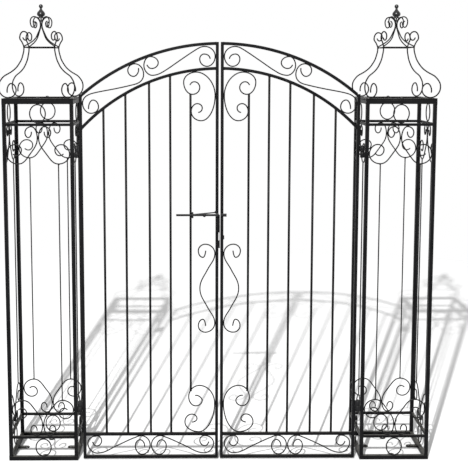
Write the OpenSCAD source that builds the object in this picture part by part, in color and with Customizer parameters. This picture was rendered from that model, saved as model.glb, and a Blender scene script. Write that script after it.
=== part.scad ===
// Wrought-style double garden gate: two lattice pillars with pagoda caps
// and two arched leaves. X runs across, -Y is the front, Z is up, and the
// origin is on the ground in the middle of the gateway.

/* [Pillars] */
// Distance from the middle of the gateway to each pillar's axis
pillar_x = 510; // [500:5:540]
// Outer width and depth of a pillar
pillar_w = 200; // [196:1:206]
// Height of a pillar without its cap
pillar_h = 1047; // [1030:1:1080]
// Side of the square tube of the corner posts
post_t = 10.5; // [9:0.5:12]
// Side of the square tube of the frames that close a pillar at both ends
frame_t = 12; // [10:0.5:13]
// Side of the square tube of the rails between the posts
rail_t = 7.5; // [6:0.5:9]
// Height of the underside of the lower rails
low_rail_z = 66; // [60:1:72]
// Gap between the upper rails and the top of the pillar's top frame
high_rail_drop = 66; // [60:1:72]
// Diameter of the thin upright rods in the pillar faces
rod_d = 3.5; // [3:0.5:5]
// Distance of those rods from the middle of their face
rod_u = 56.5; // [54:0.5:60]

/* [Scrollwork] */
// Side of the square bar that the scrolls are bent from
wire_t = 3.5; // [3:0.25:4]
// Straight steps in each quarter turn of a scroll
scroll_steps = 4; // [3:1:8]

/* [Anchor tabs] */
// Distance of the anchor holes from the pillar's axis
anchor_r = 66; // [60:1:70]
// Diameter of an anchor hole
anchor_hole_d = 8.5; // [6:0.5:10]
// Width of an anchor tab
anchor_w = 17; // [15:1:20]
// Thickness of an anchor tab
anchor_t = 3; // [2:0.5:4]

/* [Caps] */
// Width of the flat bar under a cap
cap_bar_w = 20; // [18:1:24]
// Thickness of that flat bar
cap_bar_t = 4; // [3:0.5:5]
// Half of the outer width of the square ring below the spire
ring_half = 42.6; // [42:0.2:43]
// Height of the square ring above the flat bar
ring_z = 143; // [142:1:146]

/* [Leaves] */
// Side of the square tube of the leaf frames
leaf_t = 8.5; // [7:0.5:10]
// Gap between the two meeting stiles
meeting_gap = 5.5; // [4:0.5:8]
// Gap between a leaf and its pillar, where the hinges sit
hinge_gap = 15; // [14:0.5:16]
// Height of the leaves above the ground
leaf_z = 4; // [2:1:20]
// Distance from the gate's front face to the leaves' middle plane
leaf_inset = 10; // [8:0.5:12]
// Height of the underside of the rail above the bottom scroll band
band_z = 72; // [70:1:76]
// Centre-line radius of the outer arch
outer_arch_r = 594.7; // [590:0.5:600]
// Height of the outer arch's centre
outer_arch_z = 608.7; // [600:0.5:615]
// Centre-line radius of the inner arch
inner_arch_r = 534.7; // [530:0.5:540]
// Height of the inner arch's centre
inner_arch_z = 599.5; // [595:0.5:605]
// Diameter of the upright bars
bar_d = 6.5; // [5:0.5:8]
// Distances of the long bars from the middle of the gateway
bar_x = [139, 198, 264.5, 326.5]; // [100:0.5:360]
// Distance of the short bar between the stile scrolls
short_bar_x = 82; // [80:0.5:84]

/* [Hinges and latch] */
// Diameter of a hinge barrel
barrel_d = 12; // [11:0.5:13]
// Height of one knuckle of a hinge
knuckle_h = 16; // [12:1:20]
// Diameter of a hinge pin
pin_d = 6; // [5:0.5:7]
// Heights of the middle of the hinges
hinge_z = [160, 900]; // [100:5:950]
// Height of the sliding bolt
bolt_z = 721; // [700:1:740]
// Diameter of the sliding bolt
bolt_d = 6; // [5:0.5:6]
// How far the bolt slides to lock the leaves
bolt_travel = 21; // [15:1:24]

/* [Hidden] */
$fn = 48;

coat = "#222325";
hardware = "#2b2c2e";
tube_wall = 1.2;
mitre_gap = 0.05;
weld_sink = 0.15;
wire_half = wire_t / 2;

half_w = pillar_w / 2;
panel_half = half_w - post_t;
post_u = half_w - post_t / 2;
rail_u = half_w - rail_t / 2;
panel_u = half_w - wire_half;
low_rail_top = low_rail_z + rail_t;
high_rail_z = pillar_h - high_rail_drop - rail_t;
loop_top_z = 106.5;

spire_throat = wire_t + 0.2;

screw_d = 4;
screw_head_d = 9;
screw_head_h = 2.4;
screw_len = 10;
cap_z = pillar_h + cap_bar_t;
finial_z = 83.5;

leaf_y = -half_w + leaf_inset;
leaf_front = leaf_y - leaf_t / 2;
hinge_x = pillar_x - half_w - hinge_gap / 2;
hinge_y = -half_w + barrel_d / 2;
meeting_x = meeting_gap / 2 + leaf_t / 2;
outer_x = pillar_x - half_w - hinge_gap - leaf_t / 2;
meeting_face = meeting_x + leaf_t / 2;
outer_face = outer_x - leaf_t / 2;
low_leaf_rail_top = band_z + leaf_t;
stile_touch = -meeting_face - wire_half + weld_sink;
band_mid_x = (outer_face + meeting_face) / 2;
band_low = leaf_z + leaf_t + wire_half - weld_sink;
band_high = band_z - wire_half + weld_sink;
knuckle_gap = 0.4;
pin_fit = 0.06;

bolt_y = leaf_front - 3.75;
bolt_len = 122;
bolt_tip = -1;
knob_x = -43;
guide_fit = 0.3;

// ---- bent bar -----------------------------------------------------------
// The panels of scrolls, rings and rods lie flush with the pillar's outer faces.
// A scroll is a chain of smooth bends through key points [u, z, heading],
// where heading is the direction of travel in degrees: 0 is +u, 90 is up.

function unit(h) = [cos(h), sin(h)];
function turn(p, q) = abs((q[2] - p[2] + 540) % 360 - 180);
function grip(p, q) = 0.34 + 0.21 * min(turn(p, q), 90) / 90;
function bend(a, b, c, d, t) =
    a * pow(1 - t, 3) + 3 * b * t * pow(1 - t, 2) + 3 * c * t * t * (1 - t) + d * pow(t, 3);

function stretch(p, q) =
    let (a = [p[0], p[1]], d = [q[0], q[1]], k = grip(p, q),
         b = a + k * ((d - a) * unit(p[2])) * unit(p[2]),
         c = d - k * ((d - a) * unit(q[2])) * unit(q[2]))
    [for (i = [0:scroll_steps - 1]) bend(a, b, c, d, i / scroll_steps)];

function curve(keys) =
    let (n = len(keys) - 1)
    [for (i = [0:n - 1]) each stretch(keys[i], keys[i + 1]), [keys[n][0], keys[n][1]]];

function side_step(path, i) =
    let (a = path[max(i - 1, 0)], b = path[min(i + 1, len(path) - 1)], d = (b - a) / norm(b - a))
    [-d[1], d[0]];

function bar_outline(path, half) =
    let (n = len(path) - 1)
    concat([for (i = [0:n]) path[i] + half * side_step(path, i)],
           [for (i = [n:-1:0]) path[i] - half * side_step(path, i)]);

// The bar stands in the XZ plane, with its middle plane at y = 0
module bent_bar(keys) {
    rotate([90, 0, 0])
        linear_extrude(height = wire_t, center = true)
            polygon(bar_outline(curve(keys), wire_half));
}

// ---- shared shapes ------------------------------------------------------

// Draws a left-hand shape, or its mirror image on the right
module sided(side) {
    if (side < 0) children();
    else mirror([1, 0, 0]) children();
}

// The four faces of a pillar: each child faces -Y in its own frame
module four_faces() {
    for (i = [0:3]) rotate([0, 0, 90 * i]) children();
}

// The four diagonal planes of a cap: each child runs out along +X
module four_corners() {
    for (i = [0:3]) rotate([0, 0, 45 + 90 * i]) children();
}

module at_pillar(side) {
    translate([side * pillar_x, 0, 0]) children();
}

// Upright square tube, open at both ends
module tube(side_t, length) {
    bore_t = side_t - 2 * tube_wall;
    difference() {
        translate([-side_t / 2, -side_t / 2, 0]) cube([side_t, side_t, length]);
        translate([-bore_t / 2, -bore_t / 2, -1]) cube([bore_t, bore_t, length + 2]);
    }
}

// Square tube lying along X from x = 0
module lying_tube(side_t, length) {
    rotate([0, 90, 0]) tube(side_t, length);
}

// One mitred side of a square frame, facing -Y, as a plan outline
module mitred_side(half, width, thick) {
    linear_extrude(height = thick)
        polygon([[-half + mitre_gap, -half], [half - mitre_gap, -half],
                 [half - width - mitre_gap, -half + width],
                 [-half + width + mitre_gap, -half + width]]);
}

// Four mitred tubes that close the pillar at one end
module mitred_tubes() {
    bore_t = frame_t - 2 * tube_wall;
    difference() {
        mitred_side(half_w, frame_t, frame_t);
        translate([-half_w, -half_w + tube_wall, tube_wall]) cube([pillar_w, bore_t, bore_t]);
    }
}

// ---- pillar -------------------------------------------------------------

module posts(side) {
    color(coat) at_pillar(side) four_faces()
        translate([-post_u, -post_u, frame_t]) tube(post_t, pillar_h - 2 * frame_t);
}

module base_frame(side) {
    color(coat) at_pillar(side) four_faces() mitred_tubes();
}

module top_frame(side) {
    color(coat) at_pillar(side) translate([0, 0, pillar_h - frame_t]) four_faces()
        difference() {
            mitred_tubes();
            translate([0, -half_w + frame_t / 2, frame_t - tube_wall - 1])
                cylinder(d = screw_d + 0.1, h = tube_wall + 2);
        }
}

module rails(side, z) {
    color(coat) at_pillar(side) four_faces()
        translate([-panel_half, -rail_u, z + rail_t / 2]) lying_tube(rail_t, 2 * panel_half);
}

// An oval ring that fills the space between two rails
module oval(z0, z1) {
    tall = (z1 - z0) / 2 + weld_sink;
    wide = tall - 3.5;
    steps = 24;
    translate([0, wire_half, (z0 + z1) / 2]) rotate([90, 0, 0]) difference() {
        linear_extrude(height = wire_t)
            polygon([for (i = [0:steps - 1]) let (a = 360 * i / steps)
                [wide * cos(a), tall * sin(a)]]);
        translate([0, 0, -1]) linear_extrude(height = wire_t + 2)
            polygon([for (i = [0:steps - 1]) let (a = 360 * i / steps)
                [(wide - wire_t) * cos(a), (tall - wire_t) * sin(a)]]);
    }
}

module panel_rings(side) {
    color(coat) at_pillar(side) four_faces() translate([0, -panel_u, 0]) {
        oval(frame_t, low_rail_z);
        oval(high_rail_z + rail_t, pillar_h - frame_t);
    }
}

// Left half of the pair that stands on a rail, with z from the rail's face
function panel_scroll() = [
    [-70, 79, 40], [-60, 83, 0], [-47, 67, 270], [-65, 52, 180],
    [-panel_half + wire_half - weld_sink, 79, 90], [-57, loop_top_z, 0],
    [-21, 76, 306], [-wire_half - 0.15, 33, 270],
    [-18, wire_half - weld_sink, 180], [-36, 18, 90], [-27, 32, 0], [-18, 17, 268]];

module scroll_pair() {
    bent_bar(panel_scroll());
    mirror([1, 0, 0]) bent_bar(panel_scroll());
}

module lower_scrolls(side) {
    color(coat) at_pillar(side) four_faces()
        translate([0, -panel_u, low_rail_top]) scroll_pair();
}

module upper_scrolls(side) {
    color(coat) at_pillar(side) four_faces()
        translate([0, -panel_u, high_rail_z]) mirror([0, 0, 1]) scroll_pair();
}

// Rods from the loops of the lower scrolls to those of the upper scrolls
module panel_rods(side) {
    end_gap = loop_top_z + wire_half - weld_sink;
    color(coat) at_pillar(side) four_faces() for (s = [-1, 1])
        translate([s * rod_u, -panel_u, low_rail_top + end_gap])
            cylinder(d = rod_d, h = high_rail_z - low_rail_top - 2 * end_gap, $fn = 24);
}

module anchor_tabs(side) {
    reach = half_w - frame_t - anchor_r;
    color(coat) at_pillar(side) four_faces() difference() {
        union() {
            translate([0, -anchor_r, 0]) cylinder(d = anchor_w, h = anchor_t);
            translate([-anchor_w / 2, -anchor_r - reach, 0]) cube([anchor_w, reach, anchor_t]);
        }
        translate([0, -anchor_r, -1]) cylinder(d = anchor_hole_d, h = anchor_t + 2);
    }
}

// ---- cap ----------------------------------------------------------------

module cap_bars(side) {
    color(coat) at_pillar(side) translate([0, 0, pillar_h]) four_faces()
        difference() {
            mitred_side(half_w, cap_bar_w, cap_bar_t);
            translate([0, -half_w + frame_t / 2, -1])
                cylinder(d = screw_d + 0.5, h = cap_bar_t + 2);
        }
}

// Rib from its foot curl on the corner up to its top curl, [r, z, heading]
function cap_rib() = [
    [121, 17, 80], [108, 41, 180], [91, 22, 270], [118, wire_half - weld_sink, 0],
    [149.5, 31, 90], [140, 53, 132], [122, 66, 156], [101, 76.5, 148], [80, 95, 128],
    [67, 117, 108], [61.7, 143, 84], [67, 156, 62], [75, 169, 90], [61, 187, 180],
    [47, 175, 270], [56, 163, 0], [64, 169, 60]];

module cap_ribs(side) {
    color(coat) at_pillar(side) translate([0, 0, cap_z]) four_corners() bent_bar(cap_rib());
}

module cap_ring(side) {
    color(coat) at_pillar(side) translate([0, 0, cap_z + ring_z - wire_half]) four_faces()
        mitred_side(ring_half, wire_t, wire_t);
}

// Spire scroll from the ring's corner in to the throat and out again
function spire_scroll() = [
    [58.5, 147, 160], [42.5, 154, 154], [25, 165, 140], [12.5, 182, 117],
    [spire_throat, 207, 92], [24, 230, 0], [38, 216, 270], [29, 200, 180],
    [21, 210, 90], [28, 217, 20]];

module spire_scrolls(side) {
    color(coat) at_pillar(side) translate([0, 0, cap_z]) four_corners()
        bent_bar(spire_scroll());
}

// Turned finial: a stem between the spire scrolls, a base, a bulb, a cone and a ball
module finial(side) {
    stem_r = spire_throat - wire_half + 0.1;
    stem_h = 24;
    base_r = 8;
    base_h = 3;
    bulb_r = 11.8;
    bulb_z = 12.5;
    cone_r = [9.5, 2.5];
    cone_z = 19;
    ball_r = 6;
    ball_z = 33.5;
    cone_h = ball_z - ball_r + 1 - cone_z;
    color(coat) at_pillar(side) translate([0, 0, cap_z + ring_z + finial_z]) {
        translate([0, 0, -stem_h]) cylinder(r = stem_r, h = stem_h + base_h - 1, $fn = 24);
        cylinder(r = base_r, h = base_h);
        translate([0, 0, bulb_z]) sphere(r = bulb_r);
        translate([0, 0, cone_z]) cylinder(r1 = cone_r[0], r2 = cone_r[1], h = cone_h);
        translate([0, 0, ball_z]) sphere(r = ball_r);
    }
}

module cap_screws() {
    color(hardware) for (side = [-1, 1]) at_pillar(side) translate([0, 0, cap_z])
        four_faces() translate([0, -half_w + frame_t / 2, 0]) {
            cylinder(d = screw_head_d, h = screw_head_h);
            translate([0, 0, -screw_len]) cylinder(d = screw_d, h = screw_len + 1);
        }
}

// ---- hinges -------------------------------------------------------------

// A knuckle on the hinge axis with a lug that reaches out along -X
module knuckle(h, reach) {
    lug_w = 8;
    difference() {
        union() {
            cylinder(d = barrel_d, h = h);
            translate([-reach, -lug_w / 2, 0]) cube([reach, lug_w, h]);
        }
        translate([0, 0, -1]) cylinder(d = pin_d + 2 * pin_fit, h = h + 2);
    }
}

// The lower knuckles belong to the pillar and the upper ones to the leaf
module post_knuckles(side) {
    color(hardware) sided(side) for (z = hinge_z)
        translate([-hinge_x, hinge_y, z - knuckle_h]) knuckle(knuckle_h, hinge_gap / 2);
}

module leaf_knuckles(side) {
    color(hardware) sided(side) for (z = hinge_z)
        translate([-hinge_x, hinge_y, z + knuckle_gap]) mirror([1, 0, 0])
            knuckle(knuckle_h, hinge_gap / 2);
}

module hinge_pins() {
    head_h = 2;
    color(hardware) for (side = [-1, 1], z = hinge_z) translate([side * hinge_x, hinge_y, z]) {
        translate([0, 0, -knuckle_h]) cylinder(d = pin_d, h = 2 * knuckle_h + 2 * knuckle_gap + head_h);
        translate([0, 0, knuckle_h + 2 * knuckle_gap]) cylinder(d = barrel_d - 2, h = head_h);
    }
}

// ---- leaf ---------------------------------------------------------------

function arch_at(r, cz, x) = cz + sqrt(r * r - x * x);

module outer_stile(side) {
    top = arch_at(outer_arch_r + leaf_t / 2, outer_arch_z, outer_x);
    color(coat) sided(side) translate([-outer_x, leaf_y, leaf_z]) {
        tube(leaf_t, top - leaf_z);
        translate([-leaf_t / 2, -leaf_t / 2, top - leaf_z - tube_wall])
            cube([leaf_t, leaf_t, tube_wall]);
    }
}

module meeting_stile(side) {
    top = arch_at(outer_arch_r + leaf_t / 2, outer_arch_z, meeting_x);
    color(coat) sided(side) translate([-meeting_x, leaf_y, leaf_z]) {
        tube(leaf_t, top - leaf_z);
        translate([-leaf_t / 2, -leaf_t / 2, top - leaf_z - tube_wall])
            cube([leaf_t, leaf_t, tube_wall]);
    }
}

// Curved square tube between the two stiles
module arch(side, r, cz) {
    bore_t = leaf_t - 2 * tube_wall;
    color(coat) sided(side) translate([0, leaf_y, 0]) intersection() {
        translate([0, 0, cz]) rotate([90, 0, 0]) rotate_extrude($fn = 180) difference() {
            translate([r - leaf_t / 2, -leaf_t / 2]) square([leaf_t, leaf_t]);
            translate([r - bore_t / 2, -bore_t / 2]) square([bore_t, bore_t]);
        }
        translate([-outer_face, -leaf_t, cz]) cube([outer_face - meeting_face, 2 * leaf_t, r + leaf_t]);
    }
}

module leaf_rails(side) {
    color(coat) sided(side) for (z = [leaf_z, band_z])
        translate([-outer_face, leaf_y, z + leaf_t / 2]) lying_tube(leaf_t, outer_face - meeting_face);
}

// Four bars reach the inner arch, and the short one ends on the scrolls
module leaf_bars(side) {
    inner_face_r = inner_arch_r - leaf_t / 2;
    short_z = [205.5, 1061];
    color(coat) sided(side) {
        for (x = bar_x) intersection() {
            translate([-x, leaf_y, low_leaf_rail_top])
                cylinder(d = bar_d, h = inner_arch_z + inner_arch_r - low_leaf_rail_top, $fn = 32);
            translate([0, leaf_y + bar_d, inner_arch_z]) rotate([90, 0, 0])
                cylinder(r = inner_face_r, h = 2 * bar_d, $fn = 180);
        }
        translate([-short_bar_x, leaf_y, short_z[0]])
            cylinder(d = bar_d, h = short_z[1] - short_z[0], $fn = 32);
    }
}

function arch_scroll_low() = [
    [-368, 1022, 90], [-355, 1046, 0], [-340, 1027, 270], [-361, 1009, 180],
    [-384.5, 1037, 90], [-356, 1065, 14], [-296, 1077, 11], [-238, 1090, 14],
    [-213, 1118, 90], [-237, 1147, 180], [-257, 1129, 270], [-241, 1112, 0],
    [-227, 1134, 100]];

function arch_scroll_high() = [
    [-203, 1143, 300], [-190, 1134, 0], [-172, 1150, 90], [-194, 1167, 180],
    [-212, 1142, 270], [-187, 1115, 5], [-160, 1124, 30], [-112, 1156, 34],
    [-65, 1187, 31], [-42, 1195, 0], [stile_touch, 1168, 270], [-36, 1140, 180],
    [-56, 1160, 90], [-44, 1174, 0], [-27, 1162, 285]];

module arch_scrolls(side) {
    color(coat) sided(side) translate([0, leaf_y, 0]) {
        bent_bar(arch_scroll_low());
        bent_bar(arch_scroll_high());
    }
}

function top_scroll() = [
    [-83, 1089, 60], [-71, 1097, 0], [-56, 1081, 270], [-76, 1062, 180], [-101, 1096, 90],
    [-68, 1124, 4], [stile_touch, 1059, 270], [-52, 988, 180], [-80, 1014, 90],
    [-63, 1036, 0], [-49, 1024, 270], [-59, 1011.5, 190]];

function middle_scroll() = [
    [-39, 616, 262], [-47, 598, 180], [-60, 617, 90], [-40, 636, 0],
    [stile_touch, 609, 270], [-34, 562, 243], [-55.5, 507.5, 270], [-34, 453, 297],
    [stile_touch, 406, 270], [-40, 379, 180], [-60, 398, 90], [-47, 417, 0],
    [-39, 399, 278]];

function bottom_scroll() = [
    [-68, 191, 20], [-49, 176, 270], [-68, 160, 180], [-88, 187, 90], [-57, 221, 0],
    [stile_touch, 168, 270], [-59, low_leaf_rail_top + wire_half - weld_sink, 180],
    [-99, 112, 90], [-79, 135, 0], [-64, 122, 270], [-77, 111, 190]];

module stile_scrolls(side) {
    color(coat) sided(side) translate([0, leaf_y, 0]) {
        bent_bar(top_scroll());
        bent_bar(middle_scroll());
        bent_bar(bottom_scroll());
    }
}

// One half of the bottom band; the other half is its mirror image
function band_scroll() = [
    [-368, 51, 290], [-356, 40, 0], [-342, 56, 90], [-356, band_high, 180],
    [-382, 48, 270], [-354, band_low + 4, 2], [-295, 42, 25], [-245, 65, 21],
    [-227, band_high, 0], [-band_mid_x - 2, 43, 270], [-224, band_low, 180],
    [-244, 40, 90], [-230, 58, 0], [-217, 38, 262]];

module band_scrolls(side) {
    color(coat) sided(side) translate([0, leaf_y, 0]) {
        bent_bar(band_scroll());
        translate([-2 * band_mid_x, 0, 0]) mirror([1, 0, 0]) bent_bar(band_scroll());
    }
}

// ---- latch --------------------------------------------------------------

module bolt() {
    knob_d = 10;
    knob_out = 4.5;
    color(hardware) translate([0, bolt_y, bolt_z]) {
        translate([bolt_tip - bolt_len, 0, 0]) rotate([0, 90, 0]) cylinder(d = bolt_d, h = bolt_len);
        translate([knob_x, -knob_out, 0]) sphere(d = knob_d);
    }
}

// Block with a bore that the bolt slides through, on the front of a stile
module bolt_block(x0, x1) {
    wall = 5;
    half_h = 5.5;
    front = bolt_y - wall;
    difference() {
        translate([x0, front, bolt_z - half_h]) cube([x1 - x0, leaf_front - front, 2 * half_h]);
        translate([x0 - 1, bolt_y, bolt_z]) rotate([0, 90, 0])
            cylinder(d = bolt_d + 2 * guide_fit, h = x1 - x0 + 2);
    }
}

// Ring beside the short bar, and a brace that runs from it up to the meeting stile
module ring_guide() {
    ring_d = 18;
    ring_t = 5;
    brace_rise = 6.5;
    start_x = -short_bar_x + bar_d / 2 - weld_sink;
    run = -meeting_face - start_x;
    difference() {
        union() {
            translate([start_x, bolt_y, bolt_z]) rotate([0, 90, 0]) cylinder(d = ring_d, h = ring_t);
            intersection() {
                translate([start_x, leaf_y, bolt_z]) rotate([0, 90 - atan(brace_rise / run), 0])
                    translate([0, 0, -1]) cylinder(d = rod_d, h = run + 3, $fn = 24);
                translate([start_x, leaf_y - ring_d, bolt_z - ring_d])
                    cube([run, 2 * ring_d, 2 * ring_d]);
            }
        }
        translate([start_x - 1, bolt_y, bolt_z]) rotate([0, 90, 0])
            cylinder(d = bolt_d + 2 * guide_fit, h = ring_t + 2);
    }
}

module bolt_guides() {
    color(hardware) {
        ring_guide();
        bolt_block(-meeting_face, -meeting_gap / 2);
    }
}

// The bolt ends flush with the keeper when it is home
module bolt_keeper() {
    color(hardware) bolt_block(meeting_gap / 2, bolt_tip + bolt_travel);
}

// Strip that closes the meeting gap, with a slot for a padlock's shackle
module meeting_strip() {
    strip_w = 4;
    strip_z = [625, bolt_z];
    slot_z = [647, 670];
    web = 1.2;
    color(hardware) translate([-meeting_gap / 2, leaf_y - strip_w / 2, 0]) difference() {
        translate([0, 0, strip_z[0]]) cube([strip_w, strip_w, strip_z[1] - strip_z[0]]);
        translate([-1, -1, slot_z[0]])
            cube([strip_w + 1 - web, strip_w + 2, slot_z[1] - slot_z[0]]);
    }
}

// Lug on the side of the right meeting stile, with its hole ahead of the stile
module padlock_lug() {
    lug_t = 2;
    lug_r = 5;
    lug_hole_d = 4.8;
    lug_out = 9;
    lug_foot = 3;
    lug_z = 657;
    color(hardware) translate([meeting_face, leaf_front - lug_out, lug_z]) rotate([0, 90, 0])
        difference() {
            union() {
                translate([-lug_r, 0, 0]) cube([2 * lug_r, lug_out + lug_foot, lug_t]);
                cylinder(r = lug_r, h = lug_t);
            }
            translate([0, 0, -1]) cylinder(d = lug_hole_d, h = lug_t + 2);
        }
}

// ---- nodes --------------------------------------------------------------

posts(-1);  // left_posts
base_frame(-1);  // left_base_frame
top_frame(-1);  // left_top_frame
rails(-1, low_rail_z);  // left_lower_rails
rails(-1, high_rail_z);  // left_upper_rails
panel_rings(-1);  // left_panel_rings
lower_scrolls(-1);  // left_lower_scrolls
upper_scrolls(-1);  // left_upper_scrolls
panel_rods(-1);  // left_panel_rods
anchor_tabs(-1);  // left_anchor_tabs
cap_bars(-1);  // left_cap_bars
cap_ribs(-1);  // left_cap_ribs
cap_ring(-1);  // left_cap_ring
spire_scrolls(-1);  // left_spire_scrolls
finial(-1);  // left_finial
post_knuckles(-1);  // left_post_knuckles
posts(1);  // right_posts
base_frame(1);  // right_base_frame
top_frame(1);  // right_top_frame
rails(1, low_rail_z);  // right_lower_rails
rails(1, high_rail_z);  // right_upper_rails
panel_rings(1);  // right_panel_rings
lower_scrolls(1);  // right_lower_scrolls
upper_scrolls(1);  // right_upper_scrolls
panel_rods(1);  // right_panel_rods
anchor_tabs(1);  // right_anchor_tabs
cap_bars(1);  // right_cap_bars
cap_ribs(1);  // right_cap_ribs
cap_ring(1);  // right_cap_ring
spire_scrolls(1);  // right_spire_scrolls
finial(1);  // right_finial
post_knuckles(1);  // right_post_knuckles
cap_screws();
hinge_pins();
outer_stile(-1);  // left_leaf_outer_stile
meeting_stile(-1);  // left_leaf_meeting_stile
arch(-1, outer_arch_r, outer_arch_z);  // left_leaf_outer_arch
arch(-1, inner_arch_r, inner_arch_z);  // left_leaf_inner_arch
leaf_rails(-1);  // left_leaf_rails
leaf_bars(-1);  // left_leaf_bars
arch_scrolls(-1);  // left_leaf_arch_scrolls
stile_scrolls(-1);  // left_leaf_stile_scrolls
band_scrolls(-1);  // left_leaf_band_scrolls
leaf_knuckles(-1);  // left_leaf_knuckles
outer_stile(1);  // right_leaf_outer_stile
meeting_stile(1);  // right_leaf_meeting_stile
arch(1, outer_arch_r, outer_arch_z);  // right_leaf_outer_arch
arch(1, inner_arch_r, inner_arch_z);  // right_leaf_inner_arch
leaf_rails(1);  // right_leaf_rails
leaf_bars(1);  // right_leaf_bars
arch_scrolls(1);  // right_leaf_arch_scrolls
stile_scrolls(1);  // right_leaf_stile_scrolls
band_scrolls(1);  // right_leaf_band_scrolls
leaf_knuckles(1);  // right_leaf_knuckles
bolt();
bolt_guides();
bolt_keeper();
meeting_strip();
padlock_lug();
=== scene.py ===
"""Dresses a double garden gate: two lattice pillars with pagoda caps, and two arched leaves.

Every piece is bent, drawn or turned steel under one black powder coat. Lengths are in
millimetres up to the moment a mesh is made, when they become metres. X runs across the
gateway, -Y is its front and Z is up.
"""

from __future__ import annotations

import logging
import math
from dataclasses import dataclass, field
from enum import Enum

import bmesh
import bpy
import numpy as np
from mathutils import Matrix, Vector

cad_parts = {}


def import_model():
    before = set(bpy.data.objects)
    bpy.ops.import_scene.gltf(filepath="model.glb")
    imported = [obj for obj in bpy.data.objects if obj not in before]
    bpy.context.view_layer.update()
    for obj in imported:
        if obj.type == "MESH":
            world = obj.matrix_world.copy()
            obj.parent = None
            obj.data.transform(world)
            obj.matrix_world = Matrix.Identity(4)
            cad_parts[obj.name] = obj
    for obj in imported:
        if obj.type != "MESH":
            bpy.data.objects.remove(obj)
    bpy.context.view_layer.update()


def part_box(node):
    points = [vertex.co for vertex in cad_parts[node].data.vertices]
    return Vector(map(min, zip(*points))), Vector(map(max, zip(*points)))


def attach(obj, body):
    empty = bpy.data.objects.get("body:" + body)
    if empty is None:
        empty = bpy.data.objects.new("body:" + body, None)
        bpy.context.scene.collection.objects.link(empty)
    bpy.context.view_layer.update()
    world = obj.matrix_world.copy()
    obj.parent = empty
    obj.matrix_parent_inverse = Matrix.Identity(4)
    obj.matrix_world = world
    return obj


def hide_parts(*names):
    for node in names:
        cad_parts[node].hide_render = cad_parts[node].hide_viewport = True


MM = 0.001
AXES = {"x": np.array([1.0, 0.0, 0.0]), "y": np.array([0.0, 1.0, 0.0]), "z": np.array([0.0, 0.0, 1.0])}
log = logging.getLogger("gate")


class Side(Enum):
    """Which pillar or leaf a piece belongs to. The value is the sign of its X."""

    LEFT = -1
    RIGHT = 1

    @property
    def word(self) -> str:
        """The side's name, as the nodes and bodies spell it."""
        return self.name.lower()


# ---- finishes -------------------------------------------------------------------------


def linear(hex_colour: str) -> tuple[float, float, float, float]:
    """Turns an sRGB hex colour into the linear colour that shaders take.

    Args:
        hex_colour: Six hex digits, with or without a leading hash.

    Returns:
        Red, green and blue as linear values, and an alpha of 1.
    """
    digits = hex_colour.lstrip("#")
    parts = np.array([int(digits[i : i + 2], 16) for i in (0, 2, 4)]) / 255.0
    low = parts / 12.92
    high = ((parts + 0.055) / 1.055) ** 2.4
    red, green, blue = np.where(parts <= 0.04045, low, high)
    return float(red), float(green), float(blue), 1.0


def add_node(
    tree: bpy.types.NodeTree, kind: str, settings: dict | None = None, **links: object
) -> bpy.types.Node:
    """Adds one shader node, sets its properties and fills or links its inputs.

    Args:
        tree: The material's node tree.
        kind: Blender's name for the node's type.
        settings: Properties of the node itself, by name.
        **links: Inputs by name, with underscores for spaces, or i0, i1 for inputs by
            number. A socket is linked and anything else is set as the default.

    Returns:
        The new node.
    """
    node = tree.nodes.new(kind)
    for name, value in (settings or {}).items():
        setattr(node, name, value)
    for name, value in links.items():
        by_number = name[0] == "i" and name[1:].isdigit()
        socket = node.inputs[int(name[1:])] if by_number else node.inputs[name.replace("_", " ")]
        if isinstance(value, bpy.types.NodeSocket):
            tree.links.new(value, socket)
        else:
            socket.default_value = value
    return node


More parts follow.
